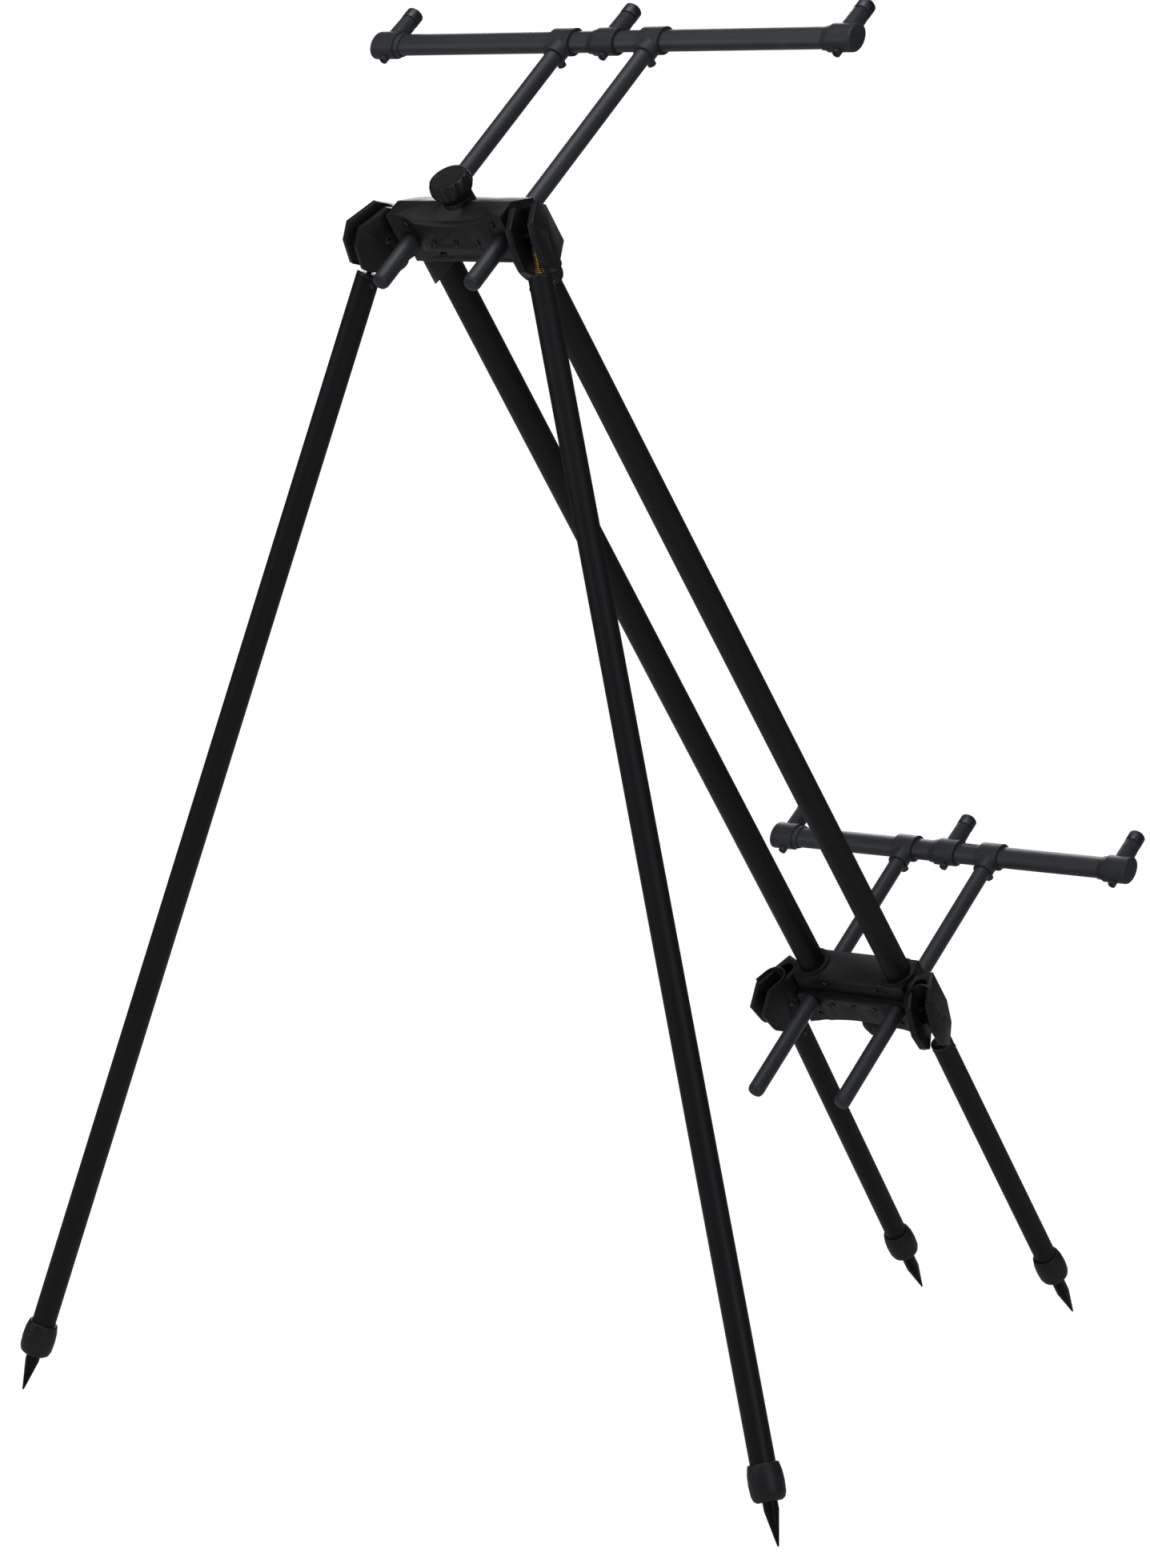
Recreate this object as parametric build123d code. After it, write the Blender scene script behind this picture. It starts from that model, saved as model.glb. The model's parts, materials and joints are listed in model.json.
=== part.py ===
"""Rod pod: two clamp heads on a pair of sloping main bars, four sprung folding legs on ground
spikes, and two height-adjustable cross bars that each carry three threaded rod-rest sockets.

Everything is first built in the pod frame: X runs along the cross bars, Y down the main bars from
the front (upper) head to the rear (lower) head, and Z up the cross bars' stems. The finished
pieces are then tilted about X by the main bars' slope and set on the ground. Millimetres, degrees.
"""
import os
from math import cos, radians, sin

from build123d import *

# ---- stance ---------------------------------------------------------------------------------
BAR_SLOPE = 49.1            # main bars below level, falling to the rear
SPLAY = 24.4                # lean of the leg slots, outwards
FRONT_LEG = 1128.0          # hinge pin to spike tip
REAR_LEG = 424.0
FRONT_LEG_ANGLE = 47.7      # leg from the main bars' direction, in its slot plane
REAR_LEG_ANGLE = 2.0

# ---- tubes ----------------------------------------------------------------------------------
MAIN_BAR_D = 26.0
LEG_D = 22.0
STEM_D = 16.0
TUBE_WALL = 1.5
STEM_X = 51.0               # stems and main bars share this offset from the middle

# ---- clamp heads ----------------------------------------------------------------------------
PIN_X = 86.0
PIN_Y = -3.5                # hinge pin from the stem axis, towards the bars
PIN_Z = -24.0
PIN_D = 6.0
KNUCKLE_T = 26.0            # across both walls
SLOT_T = 15.0
SLOT_END = 16.0             # centre of the slot's round end, from the pin
FACET_R = 30.0              # leg seats round the pin
BAR_FACET_R = 29.0
KNOB_FACE_Y = -30.0
BAR_FACE_Y = 28.0
FRONT_Z = -28.0             # outer face of the front cover
COVER_T = 5.0
COVER_END_Y = 9.0
BACK_Z = 19.0
CORE_HALF_X = 64.0
CHAMFER_Y = 16.0            # the back slopes away from the knob face
CHAMFER_Z = -6.0
COLLAR_D = 36.0
COLLAR_END_Y = 31.0
BAR_END_Y = 18.5            # main bar end, from the stem axis
SCALLOP_R = 34.0
SCALLOP_DEPTH = 3.5
ARCH_HALF_X = 60.0          # arched edge between the cover and the knob face
ARCH_Y = -19.0
KNUCKLE_CUT_R = 29.0        # corner cut off behind the knob face
RIM_R = 13.0                # raised rim of the folded leg's seat
RIM_T = 1.6
RIM_REACH = 3.6
SLEEVE_OUTER_Y = 64.0
SLEEVE_INNER_Y = 38.0

# ---- clamp ----------------------------------------------------------------------------------
BOLT_D = 8.0
KNOB_D = 40.0
KNOB_FACE_D = 36.0
KNOB_FOOT_D = 27.0
KNOB_T = 20.5
KNOB_FLUTES = 12
KNOB_FLUTE_R = 3.0
KNOB_CHAMFER = 1.5
BOSS_D = 31.0               # where the knob boss meets the head
BOSS_TIP_D = 28.0
BOSS_T = 1.0
YOKE_T = 8.6
YOKE_HALF_X = 58.0
YOKE_HALF_Z = 7.5
YOKE_GAP = 0.5
BOLT_BEYOND_YOKE = 4.0
SCREW_D = 3.0
SCREW_HEAD_D = 6.0
SCREW_L = 14.0
PIN_OUT = 0.5               # pin ends proud of the knuckle

# ---- legs -----------------------------------------------------------------------------------
PLUG_FACE = 33.8            # from the pin, just outside the seats' corners
PLUG_COLLAR = 3.6
PLUG_CHAMFER = 1.0
PLUG_SHANK = 26.0
ROD_D = 4.0
ROD_END = 62.0
EYE_D = 12.0
SPRING_D = 8.0
SPRING_BORE = 5.0
SPRING_RIB = 2.0
CAP_L = 32.0
CAP_D = 31.0
CAP_TOP_D = 27.0
CAP_FLOOR = 6.0
CAP_EDGE = 1.0
SPIKE_D = 13.0
SPIKE_CONE = 30.0
SPIKE_TIP_D = 1.6
FRONT_SPIKE_OUT = 7.0       # straight shank below the foot cap
REAR_SPIKE_OUT = 22.0
SPIKE_IN = 20.0

# ---- cross bars -----------------------------------------------------------------------------
BAR_OVAL_Y = 16.5
BAR_OVAL_Z = 24.5
FITTING_WALL = 3.0
FITTING_W = 23.5
FITTING_LIP = 6.0
FITTING_LIP_WALL = 1.2
FRONT_BAR_Z = 255.5         # bar axis above the head origin
REAR_BAR_Z = 188.0
FRONT_BAR_HALF = 269.0
REAR_BAR_HALF = 210.0
END_SETBACK = 12.0          # end socket's axis, in from the bar's end
END_ROUND = 2.5             # rounding of the closed ends
STEM_BELOW_FRONT = 84.0
STEM_BELOW_REAR = 150.0
STEM_SOCKET_D = 20.5
STEM_SOCKET_RIM = 21.5      # rim below the bar axis
TEE_BOSS_RISE = 5.2         # grub-screw axis above the rim
SOCKET_BASE_D = 18.2
SOCKET_TOP_D = 16.2
SOCKET_TOP_Z = 34.0
INSERT_D = 16.8
INSERT_T = 12.0
INSERT_NECK_T = 1.2
INSERT_NECK_D = 14.0
INSERT_SHANK = 9.0
INSERT_SHANK_D = 13.0
INSERT_EDGE = 1.5
INSERT_FLOOR = 2.0
THREAD_D = 9.525
BOSS_SCREW_D = 8.0          # grub-screw bosses
BOSS_SCREW_END = 17.8
TEE_BOSS_END = 14.5
BOSS_SCREW_Y = 4.0
STEM_PLUG_L = 10.0
STEM_PLUG_EDGE = 1.0
GRUB_D = 4.0
GRUB_L = 5.0

# ---- clearances -----------------------------------------------------------------------------
SLIDE_GAP = 0.3
RUN_GAP = 0.05
BODY_GAP = 0.4
CUT = 1.0                   # how far a cutting tool runs past a face

# ---- stance, worked out ---------------------------------------------------------------------
S_SIN, S_COS = sin(radians(BAR_SLOPE)), cos(radians(BAR_SLOPE))
L_SIN, L_COS = sin(radians(SPLAY)), cos(radians(SPLAY))


def drop(y, z):
    """Height lost by a pod-frame step."""
    return y * S_SIN - z * S_COS


def leg_direction(side, angle):
    a = radians(angle)
    return Vector(side * L_SIN * sin(a), cos(a), -L_COS * sin(a))


def leg_drop(length, angle):
    d = leg_direction(1, angle)
    return length * drop(d.Y, d.Z)


FRONT_HEAD_HEIGHT = leg_drop(FRONT_LEG, FRONT_LEG_ANGLE) + drop(PIN_Y, PIN_Z)
REAR_HEAD_HEIGHT = leg_drop(REAR_LEG, REAR_LEG_ANGLE) + drop(-PIN_Y, PIN_Z)
HEAD_SPACING = (FRONT_HEAD_HEIGHT - REAR_HEAD_HEIGHT) / S_SIN


# ---- helpers --------------------------------------------------------------------------------
def block(x0, x1, y0, y1, z0, z1):
    return Pos((x0 + x1) / 2, (y0 + y1) / 2, (z0 + z1) / 2) * Box(x1 - x0, y1 - y0, z1 - z0)


def rod(diameter, z0, z1):
    return Pos(0, 0, (z0 + z1) / 2) * Cylinder(diameter / 2, z1 - z0)


def tube(outer, inner, z0, z1):
    return rod(outer, z0, z1) - rod(inner, z0 - CUT, z1 + CUT)


def taper(d0, d1, z0, z1):
    return Pos(0, 0, (z0 + z1) / 2) * Cone(d0 / 2, d1 / 2, z1 - z0)


def along_y(shape):
    """Stand a Z-built shape on the Y axis."""
    return Rot(-90, 0, 0) * shape


def lathe(points):
    """Turn an (r, z) outline about Z."""
    face = make_face(Plane.XZ * Polyline(*points, close=True))
    return revolve(face, Axis.Z, 360)


def oval(size_y, size_z, x0, x1):
    """Elliptical prism along X."""
    profile = Plane.YZ * Ellipse(size_y / 2, size_z / 2)
    return Pos(x0, 0, 0) * extrude(profile, x1 - x0)


def pin_point(side):
    return Vector(side * PIN_X, PIN_Y, PIN_Z)


def slot_plane(side):
    """Slot's mid-plane at the pin: local X down the bars, local Y out and down the slot."""
    return Plane(origin=pin_point(side), x_dir=(0, 1, 0), z_dir=(-L_COS, 0, -side * L_SIN))


def rear_head(shape):
    """The rear head is the front head turned to face up the bars."""
    return Pos(0, HEAD_SPACING, 0) * mirror(shape, about=Plane.XZ)


# ---- clamp head -----------------------------------------------------------------------------
SEAT_ANGLES = [FRONT_LEG_ANGLE, 100.0, 131.0]
HEAD_SCREWS = [(-25, 0), (0, 0), (25, 0), (-48, -19), (48, -19), (-30, 20.5), (30, 20.5)]


def knuckle_outline():
    """Corners where the flat leg seats round the pin meet, in the slot plane."""
    knob_side = PIN_Y - KNOB_FACE_Y
    seats = [(0, BAR_FACET_R)] + [(a, FACET_R) for a in SEAT_ANGLES] + [
        (180, knob_side), (225, KNUCKLE_CUT_R), (270, FACET_R)]
    corners = []
    for (a, ra), (b, rb) in zip(seats, seats[1:] + seats[:1]):
        ca, sa, cb, sb = cos(radians(a)), sin(radians(a)), cos(radians(b)), sin(radians(b))
        det = ca * sb - sa * cb
        corners.append(((ra * sb - rb * sa) / det, (rb * ca - ra * cb) / det))
    return corners


def knuckle(side):
    plate = extrude(make_face(Polyline(*knuckle_outline(), close=True)), KNUCKLE_T / 2, both=True)
    return slot_plane(side).location * plate


def knuckle_slot(side):
    reach = 2 * FACET_R
    cut = block(-reach, reach, -SLOT_END, reach, -SLOT_T / 2, SLOT_T / 2)
    cut += Pos(0, -SLOT_END, 0) * Rot(0, 90, 0) * Cylinder(SLOT_T / 2, 2 * reach)
    cut += Cylinder(PIN_D / 2, 2 * KNUCKLE_T)
    return slot_plane(side).location * cut


def seat_rim(side):
    """U-shaped rim that cradles a leg folded along the bars."""
    height = BAR_FACET_R + RIM_REACH - SLOT_T
    ring = tube(2 * RIM_R, 2 * (RIM_R - RIM_T), 0, height)
    ring -= block(-RIM_R - CUT, RIM_R + CUT, 0, RIM_R + CUT, -CUT, height + CUT)
    for edge in (-1, 1):
        middle = edge * (RIM_R - RIM_T / 2)
        ring += block(middle - RIM_T / 2, middle + RIM_T / 2, 0, RIM_R, 0, height)
    stand = Plane(origin=(SLOT_T, 0, 0), x_dir=(0, 0, -1), z_dir=(1, 0, 0))
    return slot_plane(side).location * stand.location * ring


def core():
    body_z = FRONT_Z + COVER_T
    outline = [
        (KNOB_FACE_Y, body_z), (KNOB_FACE_Y, CHAMFER_Z), (KNOB_FACE_Y + CHAMFER_Y, BACK_Z),
        (BAR_FACE_Y, BACK_Z), (BAR_FACE_Y, -BACK_Z), (COVER_END_Y, -BACK_Z), (COVER_END_Y, body_z),
    ]
    profile = make_face(Plane.YZ * Polyline(*outline, close=True))
    return extrude(profile, CORE_HALF_X, both=True)


def scallops():
    """Shallow hollows along the front face, where the stems come out."""
    depth_z = FRONT_Z + SCALLOP_DEPTH - SCALLOP_R
    hollow = Pos(0, 0, depth_z) * along_y(rod(2 * SCALLOP_R, -2 * FACET_R, 2 * FACET_R))
    return Pos(STEM_X, 0, 0) * hollow + Pos(-STEM_X, 0, 0) * hollow


def arch():
    """Long-radius cutter along the slope from the knob face to the cover."""
    slope = Vector(0, ARCH_Y - KNOB_FACE_Y, FRONT_Z - CHAMFER_Z).normalized()
    depth = -slope.Z * (ARCH_Y - KNOB_FACE_Y)
    radius = (ARCH_HALF_X ** 2 + depth ** 2) / (2 * depth)
    edge = Plane(origin=(0, ARCH_Y, FRONT_Z), x_dir=(1, 0, 0), z_dir=slope)
    return edge.location * Pos(0, radius, 0) * Cylinder(radius, -4 * FRONT_Z)


def stem_bores():
    bore = rod(STEM_D + 2 * SLIDE_GAP, -2 * FACET_R, 2 * FACET_R)
    return Pos(STEM_X, 0, 0) * bore + Pos(-STEM_X, 0, 0) * bore


def screw_seat(x, y):
    """Height of the flat under a screw's head: body, cover, or a spot face in a scallop."""
    if y > COVER_END_Y:
        return -BACK_Z
    return FRONT_Z + SCALLOP_DEPTH if abs(abs(x) - STEM_X) < SCREW_HEAD_D else FRONT_Z


def screw_holes():
    holes = Part()
    for x, y in HEAD_SCREWS:
        holes += Pos(x, y, 0) * rod(SCREW_D, 2 * FRONT_Z, FRONT_Z + SCREW_L)
        if FRONT_Z < screw_seat(x, y) < FRONT_Z + COVER_T:
            holes += Pos(x, y, 0) * rod(SCREW_HEAD_D + BODY_GAP, 2 * FRONT_Z, screw_seat(x, y))
    return holes


def yoke_y():
    return STEM_D / 2 + BODY_GAP


def clamp_cavity():
    y0 = yoke_y() - BODY_GAP
    y1 = yoke_y() + YOKE_T + YOKE_GAP
    half_x = YOKE_HALF_X + YOKE_GAP
    half_z = YOKE_HALF_Z + YOKE_GAP
    cavity = block(-half_x, half_x, y0, y1, -half_z, half_z)
    bolt_end = y0 + BODY_GAP + YOKE_T + BOLT_BEYOND_YOKE
    cavity += along_y(rod(BOLT_D + 2 * SLIDE_GAP, 3 * KNOB_FACE_Y, bolt_end + CUT))
    return cavity


def head_body():
    body = core() - arch() + knuckle(1) + knuckle(-1)
    body += along_y(taper(BOSS_TIP_D, BOSS_D, KNOB_FACE_Y - BOSS_T, 0))
    for x in (-STEM_X, STEM_X):
        body += Pos(x, 0, 0) * along_y(rod(COLLAR_D, 0, COLLAR_END_Y))
    cover_z = FRONT_Z + COVER_T
    body -= block(-CORE_HALF_X, CORE_HALF_X, KNOB_FACE_Y - CUT, COVER_END_Y, 3 * FRONT_Z, cover_z)
    body -= clamp_cavity() + stem_bores() + screw_holes()
    for x in (-STEM_X, STEM_X):
        body -= Pos(x, 0, 0) * along_y(rod(MAIN_BAR_D, BAR_END_Y, 3 * COLLAR_END_Y))
    for side in (-1, 1):
        body -= knuckle_slot(side)
        body += seat_rim(side)
    return body


def head_cover():
    z1 = FRONT_Z + COVER_T
    cover = block(-CORE_HALF_X, CORE_HALF_X, KNOB_FACE_Y, COVER_END_Y, FRONT_Z, z1)
    cover -= arch() + knuckle(1) + knuckle(-1)
    cover -= knuckle_slot(1) + knuckle_slot(-1)
    for x in (-STEM_X, STEM_X):
        cover -= Pos(x, 0, 0) * along_y(rod(COLLAR_D, 0, COLLAR_END_Y))
    return cover - scallops() - stem_bores() - screw_holes()


def head_screws():
    """Dome-headed screws, seated on the cover or on the body behind it."""
    group = []
    for x, y in HEAD_SCREWS:
        seat = screw_seat(x, y)
        head = Pos(0, 0, seat) * Sphere(SCREW_HEAD_D / 2)
        head -= rod(2 * SCREW_HEAD_D, seat, seat + SCREW_HEAD_D)
        head -= rod(2 * SCREW_HEAD_D, seat - SCREW_HEAD_D, seat - SCREW_HEAD_D / 3)
        group.append(Pos(x, y, 0) * (head + rod(SCREW_D, seat, FRONT_Z + SCREW_L)))
    return group


def clamp_yoke():
    y0 = yoke_y()
    yoke = block(-YOKE_HALF_X, YOKE_HALF_X, y0, y0 + YOKE_T, -YOKE_HALF_Z, YOKE_HALF_Z)
    return yoke - along_y(rod(BOLT_D + 2 * RUN_GAP, 0, 3 * y0))


def clamp_knob():
    """Fluted knob, wide in the middle and narrowing to its foot on the boss."""
    foot = KNOB_FACE_Y - BOSS_T - BODY_GAP
    face = foot - KNOB_T
    waist = foot - KNOB_T / 2
    outline = [
        (0, face), (KNOB_FACE_D / 2 - KNOB_CHAMFER, face), (KNOB_FACE_D / 2, face + KNOB_CHAMFER),
        (KNOB_D / 2, waist), (KNOB_FOOT_D / 2, foot), (0, foot),
    ]
    knob = lathe(outline)
    for i in range(KNOB_FLUTES):
        groove = Pos(KNOB_D / 2 + KNOB_FLUTE_R / 2, 0, 0) * rod(2 * KNOB_FLUTE_R, face - CUT, foot + CUT)
        knob -= Rot(0, 0, 360 * i / KNOB_FLUTES) * groove
    knob -= rod(BOLT_D, face + KNOB_T / 3, foot + CUT)
    return along_y(knob)


def clamp_bolt():
    start = KNOB_FACE_Y - BOSS_T - BODY_GAP - 2 * KNOB_T / 3
    return along_y(rod(BOLT_D, start, yoke_y() + YOKE_T + BOLT_BEYOND_YOKE))


def hinge_pin(side):
    return slot_plane(side).location * rod(PIN_D, -KNUCKLE_T / 2 - PIN_OUT, KNUCKLE_T / 2 + PIN_OUT)


def bar_sleeve(side):
    """Collar on the front end of a main bar, cut off on the slant."""
    sleeve = along_y(tube(COLLAR_D, MAIN_BAR_D, COLLAR_END_Y, SLEEVE_OUTER_Y))
    rise = (SLEEVE_OUTER_Y - SLEEVE_INNER_Y) / COLLAR_D
    outline = [
        (-side * COLLAR_D / 2, SLEEVE_INNER_Y), (side * COLLAR_D / 2, SLEEVE_OUTER_Y),
        (side * COLLAR_D / 2, 2 * SLEEVE_OUTER_Y), (-side * COLLAR_D, 2 * SLEEVE_OUTER_Y),
        (-side * COLLAR_D, SLEEVE_INNER_Y - rise * COLLAR_D / 2),
    ]
    offcut = extrude(make_face(Polyline(*outline, close=True)), COLLAR_D, both=True)
    return Pos(side * STEM_X, 0, 0) * (sleeve - offcut)


def main_bar(side):
    y1 = HEAD_SPACING - BAR_END_Y
    bar = along_y(tube(MAIN_BAR_D, MAIN_BAR_D - 2 * TUBE_WALL, BAR_END_Y, y1))
    return Pos(side * STEM_X, 0, 0) * bar


# ---- leg, along local Z from the hinge pin ----------------------------------------------------
def leg_rod():
    """Rod with an eye on the hinge pin; the leg plug slides on it."""
    eye = Rot(0, 90, 0) * Cylinder(EYE_D / 2, SLOT_T - 2 * BODY_GAP)
    rod_part = rod(ROD_D, 0, ROD_END)
    hole = Rot(0, 90, 0) * Cylinder(PIN_D / 2 + RUN_GAP, 2 * SLOT_T)
    return eye + rod_part - hole


def leg_spring():
    """Close-wound spring as a ribbed sleeve between the eye and the plug."""
    start = EYE_D / 2 + BODY_GAP
    end = PLUG_FACE - BODY_GAP
    ribs = round((end - start) / SPRING_RIB)
    pitch = (end - start) / ribs
    outline = [(SPRING_BORE / 2, start)]
    for i in range(ribs):
        z = start + i * pitch
        outline += [(SPRING_D / 2 - pitch / 4, z), (SPRING_D / 2, z + pitch / 2)]
    outline += [(SPRING_D / 2 - pitch / 4, end), (SPRING_BORE / 2, end)]
    return lathe(outline)


def leg_plug():
    shoulder = PLUG_FACE + PLUG_COLLAR
    edge = PLUG_FACE + PLUG_CHAMFER
    plug = taper(LEG_D - 2 * PLUG_CHAMFER, LEG_D, PLUG_FACE, edge) + rod(LEG_D, edge, shoulder)
    plug += rod(LEG_D - 2 * TUBE_WALL, shoulder, shoulder + PLUG_SHANK)
    return plug - rod(ROD_D + 2 * SLIDE_GAP, 0, shoulder + PLUG_SHANK + CUT)


def cap_end(tip, spike_out):
    """Foot cap's lower end, up from the spike's tip."""
    return tip - SPIKE_CONE - spike_out


def leg_tube(tip, spike_out):
    end = cap_end(tip, spike_out) - CAP_FLOOR
    return tube(LEG_D, LEG_D - 2 * TUBE_WALL, PLUG_FACE + PLUG_COLLAR, end)


def foot_cap(tip, spike_out):
    """Barrel-shaped end cap over the tube, with a hole for the spike."""
    z1 = cap_end(tip, spike_out)
    z0 = z1 - CAP_L
    outline = [
        (0, z0), (CAP_TOP_D / 2 - CAP_EDGE, z0), (CAP_TOP_D / 2, z0 + CAP_EDGE),
        (CAP_D / 2 - CAP_EDGE / 2, z0 + CAP_L / 4), (CAP_D / 2, z0 + CAP_L / 2),
        (CAP_D / 2 - CAP_EDGE / 2, z1 - CAP_L / 5), (CAP_TOP_D / 2, z1 - 2 * CAP_EDGE),
        (CAP_TOP_D / 2 - 3 * CAP_EDGE, z1), (0, z1),
    ]
    cap = lathe(outline) - rod(LEG_D, z0 - CUT, z1 - CAP_FLOOR)
    return cap - rod(SPIKE_D, z0, z1 + CUT)


def spike(tip, spike_out):
    cone_top = tip - SPIKE_CONE
    shank = rod(SPIKE_D, cone_top - spike_out - SPIKE_IN, cone_top)
    return shank + taper(SPIKE_D, SPIKE_TIP_D, cone_top, tip)


def leg_location(head_y, side, pin_y, angle):
    origin = Vector(side * PIN_X, head_y + pin_y, PIN_Z)
    across = Vector(L_COS, 0, side * L_SIN)
    return Plane(origin=origin, x_dir=across, z_dir=leg_direction(side, angle)).location


def leg(head_y, side, pin_y, angle, length, spike_out):
    place = leg_location(head_y, side, pin_y, angle)
    pieces = {
        "leg_rod": leg_rod(),
        "leg_spring": leg_spring(),
        "leg_plug": leg_plug(),
        "leg_tube": leg_tube(length, spike_out),
        "foot_cap": foot_cap(length, spike_out),
        "spike": spike(length, spike_out),
    }
    return {name: place * piece for name, piece in pieces.items()}


# ---- cross bar, about its own axis along X -----------------------------------------------------
def bar_bore():
    return oval(BAR_OVAL_Y, BAR_OVAL_Z, -2 * FRONT_BAR_HALF, 2 * FRONT_BAR_HALF)


def fitting_shell(x0, x1, wall=FITTING_WALL):
    return oval(BAR_OVAL_Y + 2 * wall, BAR_OVAL_Z + 2 * wall, x0, x1)


def rest_socket(x, left, right):
    """Moulded sleeve with a tapered rod-rest socket above and a screw boss below."""
    body = fitting_shell(left, right)
    if x:
        closed_end = body.edges().group_by(Axis.X)[-1 if x > 0 else 0]
        body = fillet(closed_end, END_ROUND)
    lip_end = left - FITTING_LIP if x >= 0 else right + FITTING_LIP
    body += fitting_shell(min(left, lip_end), max(right, lip_end), FITTING_LIP_WALL)
    body += Pos(x, 0, 0) * taper(SOCKET_BASE_D, SOCKET_TOP_D, 0, SOCKET_TOP_Z)
    boss = rod(BOSS_SCREW_D, -BOSS_SCREW_END, 0)
    body += Pos(x, BOSS_SCREW_Y, 0) * boss
    return body


def end_socket(side, half):
    """Like the middle one, but closed over the bar's end."""
    x = side * (half - END_SETBACK)
    outer = side * (half + FITTING_WALL)
    inner = side * (half + FITTING_WALL) - side * (FITTING_W + FITTING_WALL)
    body = rest_socket(x, min(inner, outer), max(inner, outer))
    bore = oval(BAR_OVAL_Y, BAR_OVAL_Z, -half, half)
    return body - bore - Pos(x, 0, 0) * socket_bores()


def socket_bores():
    seat = SOCKET_TOP_Z - INSERT_SHANK
    grub_hole = rod(GRUB_D, -BOSS_SCREW_END - CUT, 0)
    return rod(INSERT_SHANK_D, seat, SOCKET_TOP_Z + CUT) + Pos(0, BOSS_SCREW_Y, 0) * grub_hole


def middle_socket():
    half_w = FITTING_W / 2
    return rest_socket(0, -half_w, half_w) - bar_bore() - socket_bores()


def rest_insert(x):
    """Knurled threaded insert in the top of a socket."""
    top = SOCKET_TOP_Z + INSERT_NECK_T + INSERT_T
    head = SOCKET_TOP_Z + INSERT_NECK_T
    outline = [
        (0, SOCKET_TOP_Z - INSERT_SHANK), (INSERT_SHANK_D / 2, SOCKET_TOP_Z - INSERT_SHANK),
        (INSERT_SHANK_D / 2, SOCKET_TOP_Z), (INSERT_NECK_D / 2, SOCKET_TOP_Z),
        (INSERT_NECK_D / 2, head), (INSERT_D / 2, head), (INSERT_D / 2, top - INSERT_EDGE),
        (INSERT_D / 2 - INSERT_EDGE, top), (0, top),
    ]
    insert = lathe(outline) - rod(THREAD_D, SOCKET_TOP_Z - INSERT_SHANK + INSERT_FLOOR, top + CUT)
    return Pos(x, 0, 0) * insert


def stem_tee(side):
    """Sleeve that joins a stem to the bar, with a grub-screw boss behind the stem."""
    x = side * STEM_X
    half_w = FITTING_W / 2
    body = fitting_shell(x - half_w, x + half_w)
    body += Pos(x, 0, 0) * rod(STEM_SOCKET_D, -STEM_SOCKET_RIM, 0)
    boss_z = -STEM_SOCKET_RIM + TEE_BOSS_RISE
    body += Pos(x, 0, boss_z) * along_y(rod(BOSS_SCREW_D, 0, TEE_BOSS_END))
    body -= bar_bore()
    body -= Pos(x, 0, 0) * rod(STEM_D, -2 * STEM_SOCKET_RIM, 0)
    grub_hole = along_y(rod(GRUB_D, 0, 2 * BOSS_SCREW_END))
    return body - Pos(x, 0, boss_z) * grub_hole


def grub_screws(half):
    screws = []
    y_wall = STEM_D / 2
    boss_z = -STEM_SOCKET_RIM + TEE_BOSS_RISE
    for side in (-1, 1):
        screws.append(Pos(side * STEM_X, 0, boss_z) * along_y(rod(GRUB_D, y_wall, y_wall + GRUB_L)))
    z_wall = BAR_OVAL_Z / 2
    for x in (-(half - END_SETBACK), 0, half - END_SETBACK):
        screws.append(Pos(x, BOSS_SCREW_Y, 0) * rod(GRUB_D, -z_wall - GRUB_L, -z_wall))
    return screws


def stem(bar_z, below):
    top = -BAR_OVAL_Z / 2
    return tube(STEM_D, STEM_D - 2 * TUBE_WALL, -bar_z - below + STEM_PLUG_L / 2, top)


def stem_plug(bar_z, below):
    end = -bar_z - below
    joint = end + STEM_PLUG_L / 2
    outline = [
        (0, end), (STEM_D / 4, end + STEM_PLUG_EDGE / 2),
        (STEM_D / 2 - STEM_PLUG_EDGE, end + 2 * STEM_PLUG_EDGE), (STEM_D / 2, joint),
        (STEM_D / 2 - TUBE_WALL, joint), (STEM_D / 2 - TUBE_WALL, joint + STEM_PLUG_L),
        (0, joint + STEM_PLUG_L),
    ]
    return lathe(outline)


def cross_bar(half, bar_z, below):
    wall = 2 * TUBE_WALL
    tube_part = oval(BAR_OVAL_Y, BAR_OVAL_Z, -half, half)
    tube_part -= oval(BAR_OVAL_Y - wall, BAR_OVAL_Z - wall, -half - CUT, half + CUT)
    sockets_x = (-(half - END_SETBACK), 0, half - END_SETBACK)
    stem_x = (-STEM_X, STEM_X)
    return {
        "bar_tube": tube_part,
        "stem_left": Pos(-STEM_X, 0, 0) * stem(bar_z, below),
        "stem_right": Pos(STEM_X, 0, 0) * stem(bar_z, below),
        "stem_tees": [stem_tee(-1), stem_tee(1)],
        "stem_plugs": [Pos(x, 0, 0) * stem_plug(bar_z, below) for x in stem_x],
        "socket_left": end_socket(-1, half),
        "socket_middle": middle_socket(),
        "socket_right": end_socket(1, half),
        "rest_inserts": [rest_insert(x) for x in sockets_x],
        "grub_screws": grub_screws(half),
    }


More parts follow.
